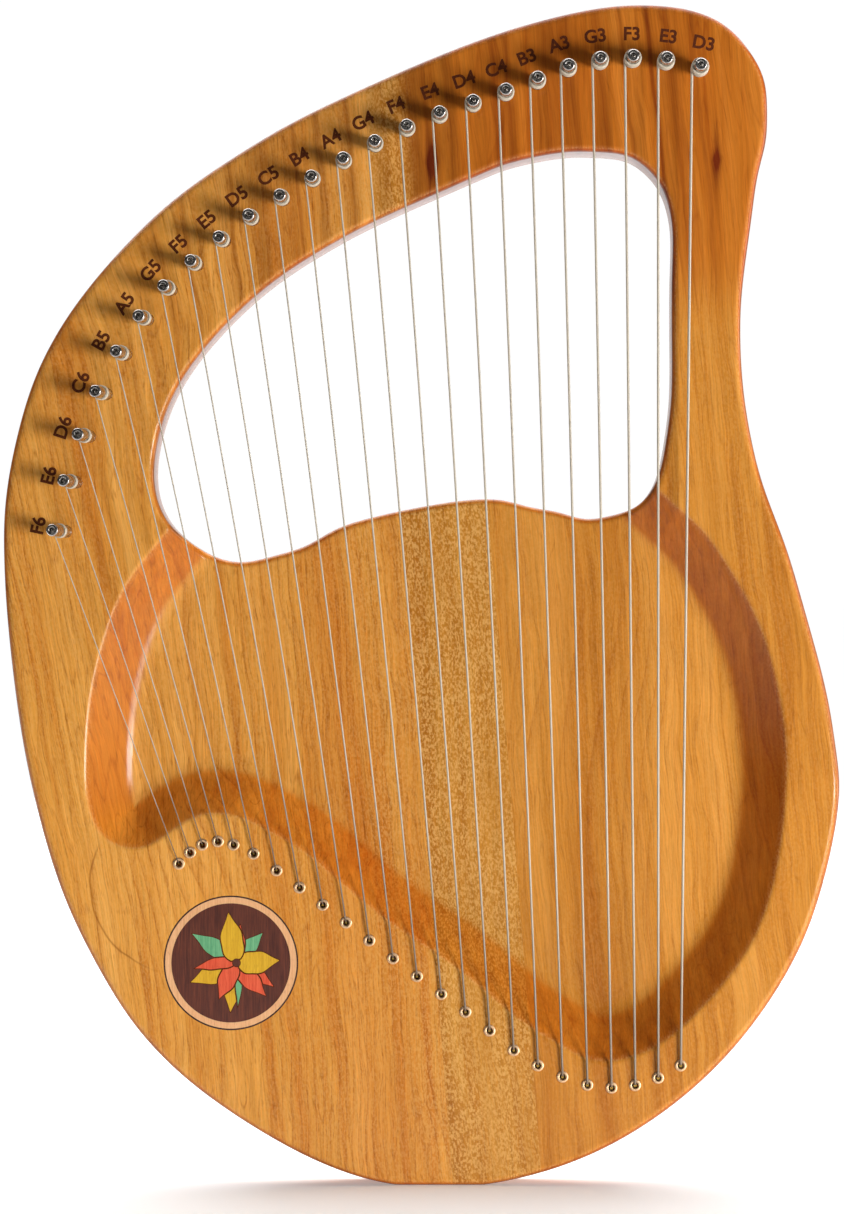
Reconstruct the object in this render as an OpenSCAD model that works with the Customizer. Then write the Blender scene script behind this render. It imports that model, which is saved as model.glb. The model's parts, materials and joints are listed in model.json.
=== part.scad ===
// A 24-string wooden lyre harp: a board glued up from three staves, carved with a dish and a
// handle opening, with tuning pins along the head and strings tied behind the foot.
// X runs to the right, the front faces -Y, and Z runs up from the flat foot.

/* [Body] */
// Height of the body; every place on the face scales with it
body_h = 530; // [500:5:560]
// Thickness of the glued board
body_t = 28; // [26:1:32]
// Radius of the rounded outer edges
edge_r = 3; // [2:0.5:4]
// Depth of the carved dish below the front face
dish_depth = 16; // [10:1:18]
// Slope of the wall of the dish, in degrees from the face
wall_slope = 38; // [30:1:50]
// Radius of the hollow between the wall of the dish and its floor
hollow_r = 9; // [4:1:12]
// Lean of the two glue seams, as sideways run per unit of height
seam_lean = 0.08; // [0:0.01:0.12]

/* [Tuning pins] */
// Radius of a tuning pin
pin_r = 2.8; // [2.4:0.1:3]
// How far a pin stands out of the front face
pin_out = 22; // [20:1:26]
// How far a pin goes into the wood
pin_in = 21; // [16:1:22]
// Radial clearance between a pin and its hole
pin_gap = 0.05; // [0.02:0.01:0.1]
// Extra outward lean of each pin after the twelfth, in degrees
pin_lean_step = 0.9; // [0:0.1:1]

/* [Strings] */
// Diameter of the lowest string
string_d_low = 1.2; // [0.9:0.1:1.4]
// Diameter of the highest string
string_d_high = 0.45; // [0.4:0.05:0.6]
// Turns of string wound on each pin
turns = 5; // [3:1:6]
// Height above the face at which a string leaves its pin
string_rise = 9; // [7:1:10]

/* [Inlay] */
// Outer radius of the round inlay
inlay_r = 30.2; // [28:0.1:32]
// Thickness of the inlaid veneer
inlay_t = 1.5; // [1:0.5:3]

/* [Hidden] */
COUNT = 24;
k = body_h / 530;
back_y = (body_t + pin_out) / 2;
front_y = back_y - body_t;
curve_n = 5;
straight_d = dish_depth - hollow_r * (1 - cos(wall_slope));
edge_steps = 2;
wall_steps = 6;

// Depths at which the section of the board changes
LEVELS = concat([for (j = [0 : edge_steps]) edge_r * j / edge_steps],
    [for (j = [1 : wall_steps]) edge_r + (dish_depth - edge_r) * j / wall_steps],
    [for (j = [edge_steps : -1 : 0]) body_t - edge_r * j / edge_steps]);

// Knots of the smooth closed outlines, as [x, z] on the face; the foot is cut off flat at z = 0
OUTER = [[8, -1.4], [72, 12], [127, 48], [167, 101], [186, 162], [184, 209], [168, 272], [149, 330],
    [143, 384], [149, 442], [155, 476], [151, 503], [130, 524.5], [93, 530], [46, 521], [-10, 500],
    [-72, 469.5], [-124, 431.5], [-166, 379], [-185, 322], [-187, 264], [-176, 182], [-154, 114],
    [-115, 56], [-50, 12]];
OPENING = [[72, 464], [97, 459.5], [111, 438], [112, 395], [111, 345], [102, 310.5], [79, 300],
    [55, 304], [24, 308.5], [-28, 299], [-60, 285], [-89, 281], [-114, 298], [-120, 325], [-108, 361],
    [-77, 397], [-36, 425], [20, 451], [44, 460]];
DISH = [[-118, 290], [-138, 260], [-150, 214], [-149, 166], [-129, 151], [-94, 166.5], [-59, 153],
    [-19, 121], [14, 98], [51, 69], [83, 55.5], [117, 71], [152, 117], [164, 182.5], [156, 240],
    [133, 285.5], [107, 312], [84, 332], [0, 350], [-80, 330]];

// Feet of every third tuning pin on the face, from the lowest string to one place past the highest
PIN_ROW = [[124, 500], [79.5, 503], [37.5, 489], [-6.5, 473], [-48.5, 450.5], [-88.5, 423.5],
    [-123, 388.5], [-149, 336], [-163, 270]];
// Every third string hole, as far as the nineteenth
HOLE_ROW = [[116, 54], [85, 44], [52, 54], [19.5, 78], [-13, 102], [-44.5, 126], [-75.5, 149]];
// The last five string holes, close together round the left end of the dish
HOLE_BEND = [[-84.5, 153], [-91.5, 154.5], [-98.5, 153], [-104, 149.5], [-109, 144.5]];

// Glue seams on the face: x at seam_z
seam_z = 100;
SEAM_X = [6, 46];
// A height inside the opening, between the two parts of the centre stave
part_z = 380;

// Wall and hole sizes
socket_r = 1.2;
socket_depth = 4;
cross_r = 0.8;
tip_chamfer = 0.6;
hole_r = 1.2;
ferrule_r = 2;
ferrule_depth = 5;
ferrule_bore = 1.3;
flange_r = 2.7;
flange_t = 0.6;
ball_r = 2.2;
pocket_r = 3.5;
pocket_depth = 6;
lock_r = 0.8;

INLAY_AT = [-85.7, 100];
line_w = 0.7;
border_w = 2.8;
FLOWER_AT = [2.5, 0];
eye_r = 1.8;
joint_w = 0.3;
// Veneer pieces of the flower, uppermost first: [colour, direction, length, width, bend]
PETALS = [["yellow", 104, 23, 10.5, -2], ["yellow", -1, 19.5, 10.5, 1.5], ["red", 176, 19, 5.5, 4],
    ["red", 238, 18, 8.5, 2], ["red", 306, 20, 8.5, 2], ["green", 280, 20, 3.2, -3],
    ["red", 78, 17.5, 5.5, 2], ["yellow", 208, 22.5, 10, -2], ["green", 142, 24, 8.5, 2],
    ["green", 55, 18, 7.5, -2], ["yellow", 258, 22.5, 9, 2], ["red", 333, 20, 7, -2]];

// A number as two digits
function two(i) = i < 10 ? str("0", i) : str(i);
// Point at u past the middle one of three, on the parabola through them
function arc3(a, b, c, u) = b + (c - a) * u / 2 + (a - 2 * b + c) * u * u / 2;
// Share of the second parabola where two of them blend
function blend(u) = pow(sin(90 * u), 2);
// Smooth closed curve through knots, with n points from each knot to the next
function loop_curve(q, n) = [for (i = [0 : len(q) - 1], s = [0 : n - 1])
    let (m = len(q), a = q[(i + m - 1) % m], b = q[i], c = q[(i + 1) % m], d = q[(i + 2) % m], u = s / n)
    (1 - blend(u)) * arc3(a, b, c, u) + blend(u) * arc3(b, c, d, u - 1)];
// Point at t along a smooth open curve through knots
function row_point(q, t) = let (i = min(floor(t), len(q) - 2), u = t - i,
    first = max(i - 1, 0), last = min(i, len(q) - 3),
    near = arc3(q[first], q[first + 1], q[first + 2], t - first - 1),
    far = arc3(q[last], q[last + 1], q[last + 2], t - last - 1))
    (1 - blend(u)) * near + blend(u) * far;

// Foot of tuning pin i on the front face
function pin_foot(i) = let (p = k * row_point(PIN_ROW, (i - 1) / 3)) [p.x, front_y, p.y];
// Outward lean of tuning pin i
function pin_lean(i) = pin_lean_step * max(i - 12, 0);
// Mouth of string hole i on the front face
function hole_at(i) = let (p = k * (i < 20 ? row_point(HOLE_ROW, (i - 1) / 3) : HOLE_BEND[i - 20]))
    [p.x, front_y, p.y];
// Diameter of string i
function string_d(i) = string_d_low + (string_d_high - string_d_low) * (i - 1) / (COUNT - 1);
// Radius at which the axis of string i runs round its pin
function wind_r(i) = pin_r + pin_gap + 0.15 + string_d(i) / 2;
// A world point in the frame of pin i, where z runs out along the pin
function in_pin_frame(i, p) = let (v = p - pin_foot(i), a = pin_lean(i))
    [v.x * cos(a) - v.y * sin(a), v.z, -v.x * sin(a) - v.y * cos(a)];
// Where string i bends over its eyelet
function bend_at(i) = hole_at(i) - [0, flange_t + 0.05 + string_d(i) / 2, 0];
// Where string i leaves its winding, in the frame of its pin
function leave_at(i) = let (e = in_pin_frame(i, bend_at(i)), r = wind_r(i),
    a = atan2(e.y, e.x) - acos(r / norm([e.x, e.y]))) [r * cos(a), r * sin(a), string_rise];

// Turns the plane of a flat shape into the face, at depth d below the front and t thick
module at_depth(d, t) {
    translate([0, front_y + d + t, 0]) rotate([90, 0, 0]) linear_extrude(t) children();
}
// Puts a shape at a place, with its z running out of the front face
module out_of_face(p) {
    translate(p) rotate([90, 0, 0]) children();
}
// Puts a shape at the foot of tuning pin i, with its z running out along the pin
module on_pin(i) {
    translate(pin_foot(i)) rotate([0, 0, -pin_lean(i)]) rotate([90, 0, 0]) children();
}
// A round rod from one point to another
module rod(a, b, r) {
    v = b - a;
    translate(a) rotate([0, acos(v.z / norm(v)), atan2(v.y, v.x)])
        cylinder(h = norm(v), r = r, $fn = 24);
}

// Strip of the face between two seams; seam 0 is the left end of the body and seam 3 the right
module stave_strip(s) {
    edge = [-body_h, k * SEAM_X[0], k * SEAM_X[1], body_h];
    run = seam_lean * body_h;
    top = k * seam_z * seam_lean - run;
    foot = k * seam_z * seam_lean;
    polygon([[edge[s] + foot, 0], [edge[s + 1] + foot, 0],
        [edge[s + 1] + foot - 1.1 * run, 1.1 * body_h], [edge[s] + foot - 1.1 * run, 1.1 * body_h]]);
}
// Face of stave s with its outer edges drawn in and, where the dish is, the dish taken out
module stave_plan(s, edge_in, dish_in) {
    difference() {
        intersection() {
            offset(delta = -edge_in) polygon(k * loop_curve(OUTER, curve_n));
            stave_strip(s);
            translate([-body_h, edge_in]) square([2 * body_h, body_h]);
        }
        offset(delta = edge_in) polygon(k * loop_curve(OPENING, curve_n));
        if (dish_in >= 0) offset(delta = -dish_in) polygon(k * loop_curve(DISH, curve_n));
    }
}
// How far the rounded edge is drawn in at depth d
function edge_inset(d) = d > edge_r ? 0 : edge_r - sqrt(edge_r * edge_r - pow(edge_r - d, 2));
// How far the wall of the dish has come in from its rim at depth d, straight at first and then hollow
function wall_inset(d) = d > dish_depth ? -1 : d < straight_d ? d / tan(wall_slope)
    : straight_d / tan(wall_slope) + hollow_r * (sin(wall_slope) - sin(hollow_angle(d)));
// Slope of the hollow at the foot of the wall, at depth d
function hollow_angle(d) = acos(1 - (dish_depth - d) / hollow_r);
module stave(s) {
    difference() {
        union() {
            for (j = [0 : len(LEVELS) - 2]) {
                d = (LEVELS[j] + LEVELS[j + 1]) / 2;
                at_depth(LEVELS[j], LEVELS[j + 1] - LEVELS[j])
                    stave_plan(s, edge_inset(min(d, body_t - d)), wall_inset(d));
            }
        }
        for (i = [1 : COUNT]) {
            if (in_stave(s, pin_foot(i))) pin_hole(i);
            if (in_stave(s, hole_at(i))) string_hole(i);
        }
        if (s == 0) inlay_recess();
    }
}
// Seam s at height z
function seam_x(s, z) = k * SEAM_X[s] - seam_lean * (z - k * seam_z);
// Whether a point or the hole round it, m wide each way, is in stave s
function in_stave(s, p, m = 8) = let (a = s > 0 ? seam_x(s - 1, p.z) : -body_h,
    b = s < 2 ? seam_x(s, p.z) : body_h) p.x > a - m && p.x < b + m;
// Blind hole that a tuning pin turns in
module pin_hole(i) {
    on_pin(i) translate([0, 0, -pin_in - 1]) cylinder(h = pin_in + 3, r = pin_r + pin_gap, $fn = 48);
}
// Stepped hole of a string: eyelet seat, bore and pocket for the ball
module string_hole(i) {
    out_of_face(hole_at(i)) {
        translate([0, 0, -ferrule_depth]) cylinder(h = ferrule_depth + 1, r = ferrule_r, $fn = 32);
        translate([0, 0, -body_t - 1]) cylinder(h = body_t, r = hole_r, $fn = 32);
        translate([0, 0, -body_t - 1]) cylinder(h = pocket_depth + 1, r = pocket_r, $fn = 32);
    }
}
module inlay_recess() {
    out_of_face(inlay_centre()) translate([0, 0, -inlay_t]) cylinder(h = inlay_t + 1, r = inlay_r, $fn = 96);
}
module stave_left() {
    color("#d6953f") stave(0);
}
// The handle opening parts the centre stave in two
module stave_centre_upper() {
    color("#cf9a4c") intersection() {
        stave(1);
        translate([-body_h, front_y - 1, k * part_z]) cube([2 * body_h, body_t + 2, body_h]);
    }
}
module stave_centre_lower() {
    color("#cf9a4c") difference() {
        stave(1);
        translate([-body_h, front_y - 1, k * part_z]) cube([2 * body_h, body_t + 2, body_h]);
    }
}
module stave_right() {
    color("#cf8230") stave(2);
}

// Tuning pin: round shank with a chamfered end, a blind socket in the end and a cross hole
module tuning_pin(i) {
    color("#c9c6c0") on_pin(i) difference() {
        union() {
            translate([0, 0, -pin_in]) cylinder(h = pin_in + pin_out - tip_chamfer, r = pin_r, $fn = 48);
            translate([0, 0, pin_out - tip_chamfer])
                cylinder(h = tip_chamfer, r1 = pin_r, r2 = pin_r - tip_chamfer, $fn = 48);
        }
        translate([0, 0, pin_out - socket_depth]) cylinder(h = socket_depth + 1, r = socket_r, $fn = 24);
        translate([0, 0, string_rise + turns * string_d(i) / 2]) rotate([0, 90, 0])
            cylinder(h = 4 * pin_r, r = cross_r, center = true, $fn = 24);
    }
}

// String: out of the eyelet, straight over the face to the left of its pin, and wound round it
module string(i) {
    d = string_d(i);
    leave = leave_at(i);
    color("#e8dcc4") on_pin(i) union() {
        rod(in_pin_frame(i, bend_at(i)), leave, d / 2);
        translate(in_pin_frame(i, bend_at(i))) sphere(r = d / 2, $fn = 24);
        translate([0, 0, string_rise - 0.7 * d]) difference() {
            cylinder(h = turns * d, r = wind_r(i) + d / 2 + 0.15, $fn = 48);
            translate([0, 0, -1]) cylinder(h = turns * d + 2, r = pin_r + pin_gap, $fn = 48);
        }
    }
}

// Flanged eyelets that line the string holes at the front
module string_eyelets() {
    color("#e4cfa2") for (i = [1 : COUNT]) out_of_face(hole_at(i)) difference() {
        union() {
            translate([0, 0, -ferrule_depth]) cylinder(h = ferrule_depth, r = ferrule_r, $fn = 32);
            cylinder(h = flange_t, r = flange_r, $fn = 32);
        }
        translate([0, 0, -ferrule_depth - 1])
            cylinder(h = ferrule_depth + flange_t + 2, r = ferrule_bore, $fn = 32);
    }
}
// Ball and twisted lock of each string, from its pocket in the back to just under the eyelet
module string_ball_ends() {
    ball_at = pocket_depth - body_t - ball_r;
    color("#c8a24a") for (i = [1 : COUNT]) out_of_face(hole_at(i)) translate([0, 0, ball_at]) {
        sphere(r = ball_r, $fn = 32);
        cylinder(h = flange_t - ball_at, r = lock_r * string_d(i) / string_d_low, $fn = 24);
    }
}

// Centre of the inlay on the front face
function inlay_centre() = [k * INLAY_AT.x, front_y, k * INLAY_AT.y];
// Outline of a petal: it swells and narrows along a bent centre line
function petal_side(q, t, side) = let (w = q[3] / 2 * sin(180 * pow(t, 0.72)) * (1 + 0.08 * sin(720 * t)))
    [q[2] * t, q[4] * t * t + side * w];
module petal(q) {
    rotate(q[1]) polygon(concat([for (t = [0.06 : 0.0588 : 1]) petal_side(q, t, -1)], [[q[2], q[4]]],
        [for (t = [1 - 0.0588 : -0.0588 : 0.05]) petal_side(q, t, 1)]));
}
// The part of petal j that shows, with a joint's width to the petals over it
module petal_shape(j) {
    translate(FLOWER_AT) difference() {
        petal(PETALS[j]);
        circle(r = eye_r, $fn = 32);
        if (j > 0) offset(delta = joint_w) for (m = [0 : j - 1]) petal(PETALS[m]);
    }
}
// Veneer lies in its recess, with its face level with the wood
module veneer() {
    out_of_face(inlay_centre()) translate([0, 0, -inlay_t]) linear_extrude(inlay_t) children();
}
module ring(r, w) {
    difference() {
        circle(r = r, $fn = 96);
        circle(r = r - w, $fn = 96);
    }
}
module petals(name) {
    for (j = [0 : len(PETALS) - 1]) if (PETALS[j][0] == name) veneer() petal_shape(j);
}
module inlay_purfling() {
    color("#3a1a0c") veneer() ring(inlay_r, line_w);
}
module inlay_border() {
    color("#e6b07c") veneer() ring(inlay_r - line_w, border_w);
}
module inlay_disc() {
    color("#5c2a1c") veneer() difference() {
        circle(r = inlay_r - line_w - border_w, $fn = 96);
        for (j = [0 : len(PETALS) - 1]) petal_shape(j);
    }
}
module inlay_petals_yellow() {
    color("#d9a81e") petals("yellow");
}
module inlay_petals_red() {
    color("#dc5a34") petals("red");
}
module inlay_leaves_green() {
    color("#5f9a68") petals("green");
}

stave_left();
stave_centre_upper();
stave_centre_lower();
stave_right();
string_eyelets();
string_ball_ends();
inlay_purfling();
inlay_border();
inlay_disc();
inlay_petals_yellow();
inlay_petals_red();
inlay_leaves_green();
for (i = [1 : COUNT]) tuning_pin(i);
for (i = [1 : COUNT]) string(i);
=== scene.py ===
# Looks of the 24-string lyre harp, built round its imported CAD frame. The harp is worked out in
# millimetres and scaled once, where each mesh is made; the studio is in metres.
import json
import math

import bpy
import numpy as np
from mathutils import Matrix, Vector
from mathutils.geometry import delaunay_2d_cdt
from mathutils.kdtree import KDTree


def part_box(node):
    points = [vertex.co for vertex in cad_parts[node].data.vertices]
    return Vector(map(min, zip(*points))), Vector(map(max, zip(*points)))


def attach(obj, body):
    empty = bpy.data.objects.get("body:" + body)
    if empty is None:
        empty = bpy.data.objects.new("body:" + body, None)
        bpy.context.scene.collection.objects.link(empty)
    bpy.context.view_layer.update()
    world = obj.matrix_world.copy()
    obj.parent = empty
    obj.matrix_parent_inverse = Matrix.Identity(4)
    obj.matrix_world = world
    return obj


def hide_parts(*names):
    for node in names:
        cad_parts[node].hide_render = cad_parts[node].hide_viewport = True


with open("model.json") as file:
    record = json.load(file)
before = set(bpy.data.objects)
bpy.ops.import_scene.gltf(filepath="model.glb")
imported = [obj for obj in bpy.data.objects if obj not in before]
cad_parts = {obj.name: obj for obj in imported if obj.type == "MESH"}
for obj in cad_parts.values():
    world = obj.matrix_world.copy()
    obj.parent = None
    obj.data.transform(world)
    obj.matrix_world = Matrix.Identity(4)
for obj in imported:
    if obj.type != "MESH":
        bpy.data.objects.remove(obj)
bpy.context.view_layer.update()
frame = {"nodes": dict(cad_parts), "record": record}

MM = 0.001

# ---------------------------------------------------------------- driving sizes, in millimetres

FRONT_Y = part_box("inlay_disc")[0][1] / MM
BACK_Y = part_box("stave_left")[1][1] / MM
EDGE_R = 3.6
OPENING_R = 3.4
DISH_DEPTH = 16.0
WALL_SLOPE = math.radians(38)
HOLLOW_R = 14.0
STRAIGHT_W = (DISH_DEPTH - HOLLOW_R * (1 - math.cos(WALL_SLOPE))) / math.tan(WALL_SLOPE)
WALL_W = STRAIGHT_W + HOLLOW_R * math.sin(WALL_SLOPE)
RIM_SOFT = 0.7
SEAM_LEAN = 0.08
SEAM_X = (6.0, 46.0)
SEAM_Z = 100.0
SPLIT_Z = 380    # inside the opening, which parts the centre stave in two

# knots of smooth curves, as (x, z); the knots of HOLE_BEND are places of holes
OUTER = [(8, -1.4), (72, 12), (127, 48), (167, 101), (186, 162), (184, 209), (168, 272), (149, 330),
         (143, 384), (149, 442), (155, 476), (151, 503), (130, 524.5), (93, 530), (46, 521),
         (-10, 500), (-72, 469.5), (-124, 431.5), (-166, 379), (-185, 322), (-187, 264),
         (-176, 182), (-154, 114), (-115, 56), (-50, 12)]
OPENING = [(72, 464), (97, 459.5), (111, 438), (112, 395), (111, 345), (102, 310.5), (79, 300),
           (55, 304), (24, 308.5), (-28, 299), (-60, 285), (-89, 281), (-114, 298), (-120, 325),
           (-108, 361), (-77, 397), (-36, 425), (20, 451), (44, 460)]
DISH = [(-118, 290), (-138, 260), (-150, 214), (-149, 166), (-129, 151), (-94, 166.5),
        (-59, 153), (-19, 121), (14, 98), (51, 69), (83, 55.5), (117, 71), (152, 117),
        (164, 182.5), (156, 240), (133, 285.5), (107, 312), (84, 332), (0, 350), (-80, 330)]
HOLE_ROW = [(116, 54), (85, 44), (52, 54), (19.5, 78), (-13, 102), (-44.5, 126), (-75.5, 149)]
HOLE_BEND = [(-84.5, 153), (-91.5, 154.5), (-98.5, 153), (-104, 149.5), (-109, 144.5)]
STRINGS = 24
PIN_R = 2.8
PIN_OUT = 22.0
PIN_DEPTH = 22.0
STRING_HOLE = (2.0, 5.0)    # radius and depth, from the front
BALL_POCKET = (3.5, 6.0)    # the same from the back
SHELL_JOIN = 6.5            # how far in from the back the two halves of each shell meet


# ---------------------------------------------------------------- curves

def unit(v):
    return v / np.linalg.norm(v)


def arc3(a, b, c, u):
    """Point at u past the middle one of three, on the parabola through them."""
    return b + (c - a) * u / 2 + (a - 2 * b + c) * u * u / 2


def blend_share(u):
    return math.sin(math.pi * u / 2) ** 2


def loop_curve(knots, n):
    """Smooth closed curve through knots, with n points from each knot to the next."""
    q = [np.array(p, float) for p in knots]
    out = []
    for i in range(len(q)):
        a, b, c, d = q[i - 1], q[i], q[(i + 1) % len(q)], q[(i + 2) % len(q)]
        for s in range(n):
            u = s / n
            w = blend_share(u)
            out.append((1 - w) * arc3(a, b, c, u) + w * arc3(b, c, d, u - 1))
    return np.array(out)


def row_point(knots, t):
    """Point at t along a smooth open curve through knots."""
    q = [np.array(p, float) for p in knots]
    i = min(int(math.floor(t)), len(q) - 2)
    first, last = max(i - 1, 0), min(i, len(q) - 3)
    near = arc3(q[first], q[first + 1], q[first + 2], t - first - 1)
    far = arc3(q[last], q[last + 1], q[last + 2], t - last - 1)
    w = blend_share(t - i)
    return (1 - w) * near + w * far


def resample(loop, step):
    """Points at an even distance along a closed polyline."""
    closed = np.vstack([loop, loop[:1]])
    seg = np.hypot(*np.diff(closed, axis=0).T)
    along = np.concatenate([[0], np.cumsum(seg)])
    count = int(round(along[-1] / step))
    at = np.arange(count) * along[-1] / count
    return np.stack([np.interp(at, along, closed[:, k]) for k in (0, 1)], axis=1)


class Outline:
    """A closed smooth outline that knows how far inside it a point lies."""

    def __init__(self, knots, step):
        loop = resample(np.maximum(loop_curve(knots, 40), (-math.inf, 0)), step)
        area = np.sum(loop[:, 0] * np.roll(loop[:, 1], -1) - np.roll(loop[:, 0], -1) * loop[:, 1])
        self.points = loop if area > 0 else loop[::-1]
        tangent = np.roll(self.points, -1, axis=0) - np.roll(self.points, 1, axis=0)
        tangent /= np.hypot(*tangent.T)[:, None]
        self.inward = np.stack([-tangent[:, 1], tangent[:, 0]], axis=1)
        self.tree = KDTree(len(self.points))
        for k, (x, z) in enumerate(self.points):
            self.tree.insert((x, z, 0), k)
        self.tree.balance()

    def offset(self, d):
        return self.points + self.inward * d

    def inside(self, p):
        """Distance inside the outline (negative outside) and the inward direction, for each point."""
        a = self.points
        count = len(a)
        near = np.array([self.tree.find((x, z, 0))[1] for x, z in p])
        best, way = np.full(len(p), np.inf), np.zeros((len(p), 2))
        for i in ((near - 1) % count, near):
            j = (i + 1) % count
            ab = a[j] - a[i]
            t = np.clip(((p - a[i]) * ab).sum(1) / (ab ** 2).sum(1), 0, 1)[:, None]
            gap = p - (a[i] + ab * t)
            n = self.inward[i] * (1 - t) + self.inward[j] * t
            n /= np.hypot(*n.T)[:, None]
            d = np.hypot(*gap.T) * np.where((gap * n).sum(1) >= 0, 1, -1)
            closer = abs(d) < abs(best)
            best[closer], way[closer] = d[closer], n[closer]
        return best, way


outer = Outline(OUTER, 2.0)
opening = Outline(OPENING, 1.5)
dish = Outline(DISH, 1.1)


def seam_x(s, z):
    return SEAM_X[s] - SEAM_LEAN * (z - SEAM_Z)


# ---------------------------------------------------------------- the carved board

def round_over(d, r):
    """Depth and slope of a rounded edge of radius r, at distance d in from the edge."""
    x = np.clip(r - d, 0, r)
    root = np.sqrt(np.maximum(r * r - x * x, 1e-12))
    return r - root, np.where(d < r, -x / np.maximum(root, r / 60), 0.0)


def wall_table():
    """Depth and slope of the dish by the distance in from its rim: a soft rim, a wall and a hollow."""
    d = np.linspace(-8, WALL_W + 8, 1501)
    foot = np.clip(WALL_W - d, 0, HOLLOW_R * math.sin(WALL_SLOPE))
    hollow = DISH_DEPTH - HOLLOW_R + np.sqrt(HOLLOW_R ** 2 - foot ** 2)
    p = np.where(d < STRAIGHT_W, np.maximum(d, 0) * math.tan(WALL_SLOPE), hollow)
    step = d[1] - d[0]
    reach = int(3 * RIM_SOFT / step)
    kernel = np.exp(-0.5 * (np.arange(-reach, reach + 1) * step / RIM_SOFT) ** 2)
    p = np.convolve(np.pad(p, reach, mode="edge"), kernel / kernel.sum(), mode="valid")
    return d, p, np.gradient(p, step)


WALL_D, WALL_P, WALL_LEAN = wall_table()


def rounded_edges(p):
    """Depth and slope at each point of a face whose outer edge and opening are rounded."""
    d_out, n_out = outer.inside(p)
    d_open, n_open = opening.inside(p)
    e1, s1 = round_over(d_out, EDGE_R)
    e2, s2 = round_over(-d_open, OPENING_R)
    return e1 + e2, s1[:, None] * n_out - s2[:, None] * n_open


def outward(slope, y):
    """Outward normals of a face with this slope, which points to -y or +y."""
    normal = np.stack([slope[:, 0], np.full(len(slope), y), slope[:, 1]], axis=1)
    return normal / np.linalg.norm(normal, axis=1)[:, None]


def front_surface(p):
    """Depth below the front plane and outward normal at each point of the face."""
    depth, slope = rounded_edges(p)
    d_dish, n_dish = dish.inside(p)
    depth = depth + np.interp(d_dish, WALL_D, WALL_P)
    slope = slope + np.interp(d_dish, WALL_D, WALL_LEAN)[:, None] * n_dish
    return depth, outward(slope, -1.0)


def back_surface(p):
    """The same for the flat back."""
    depth, slope = rounded_edges(p)
    return depth, outward(slope, 1.0)


# the grid and the seams run a little past the board
GRID_X = 192
GRID_Z = (-4, 536)
SEAM_ENDS = (-6, 536)
SEAM_POINTS = 120


def hex_grid(step):
    """Staggered grid of points over the whole board."""
    rows = np.arange(*GRID_Z, step * 0.866)
    cols = np.arange(-GRID_X, GRID_X, step)
    return np.array([(x + (j % 2) * step / 2, z) for j, z in enumerate(rows) for x in cols])


def face_points(side):
    """Free points of a face: fine on the wall and the rim of the dish, coarse on the flats."""
    coarse = hex_grid(9.0 if side == "back" else 6.0)
    d_out, _ = outer.inside(coarse)
    d_open, _ = opening.inside(coarse)
    d_dish, _ = dish.inside(coarse)
    flat = (d_out > EDGE_R + 2) & (d_open < -OPENING_R - 2)
    if side == "back":
        return coarse[flat]
    flat &= (d_dish < -4) | (d_dish > WALL_W + 3)
    fine = hex_grid(1.7)
    f_out, _ = outer.inside(fine)
    f_open, _ = opening.inside(fine)
    f_dish, _ = dish.inside(fine)
    wall = (f_dish > 3.5) & (f_dish < WALL_W + 2) & (f_open < -OPENING_R - 0.8) & (f_out > EDGE_R)
    points = [coarse[flat], fine[wall]]
    for d in (-2.2, -1.5, -0.9, -0.45, 0, 0.45, 0.9, 1.5, 2.3):
        ring = dish.offset(d)
        r_dish, _ = dish.inside(ring)
        r_open, _ = opening.inside(ring)
        points.append(ring[(abs(r_dish - d) < 0.1) & (r_open < -OPENING_R - 0.4)])
    return np.vstack(points)


# shares of an edge's radius at which a loop of points runs along it, for even steps round the edge
EDGE_STEPS = [1 - math.cos(math.radians(a)) for a in (18, 33, 47, 60, 72, 90)]


def circle_loop(centre, r, n):
    turn = [2 * math.pi * k / n for k in range(n)]
    return [(centre[0] + r * math.cos(a), centre[1] + r * math.sin(a)) for a in turn]


class Pocket:
    """A round blind hole in a face: where, how wide, how deep, and how it leans."""

    def __init__(self, centre, r, depth, run=0.0, segments=24):
        self.centre, self.r, self.depth, self.run, self.segments = centre, r, depth, run, segments


def triangulate(side, pockets):
    """Triangles of a face, split at the seams and round its pockets, as points and index triples."""
    loops = [outer.points, opening.points]
    loops += [outer.offset(EDGE_R * s) for s in EDGE_STEPS]
    loops += [opening.offset(-OPENING_R * s) for s in EDGE_STEPS]
    loops += [np.array(circle_loop(k.centre, k.r, k.segments)) for k in pockets]
    points, edges = [], []
    for loop in loops:
        first = len(points)
        points += [tuple(p) for p in loop]
        edges += [(first + k, first + (k + 1) % len(loop)) for k in range(len(loop))]
    for s in (0, 1):
        first = len(points)
        heights = np.linspace(*SEAM_ENDS, SEAM_POINTS)
        points += [(seam_x(s, z), z) for z in heights]
        edges += [(first + k, first + k + 1) for k in range(len(heights) - 1)]
    free = face_points(side)
    for k in pockets:
        gap = np.hypot(*(free - np.array(k.centre)).T)
        free = free[abs(gap - k.r) > 0.8]
    for s in (0, 1):
        free = free[abs(free[:, 0] - seam_x(s, free[:, 1])) > 0.7]
    points += [tuple(p) for p in free]
    verts, _, faces, *_ = delaunay_2d_cdt([Vector(p) for p in points], edges, [], 0, 1e-5)
    return np.array([tuple(v) for v in verts]), np.array(faces)


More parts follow.
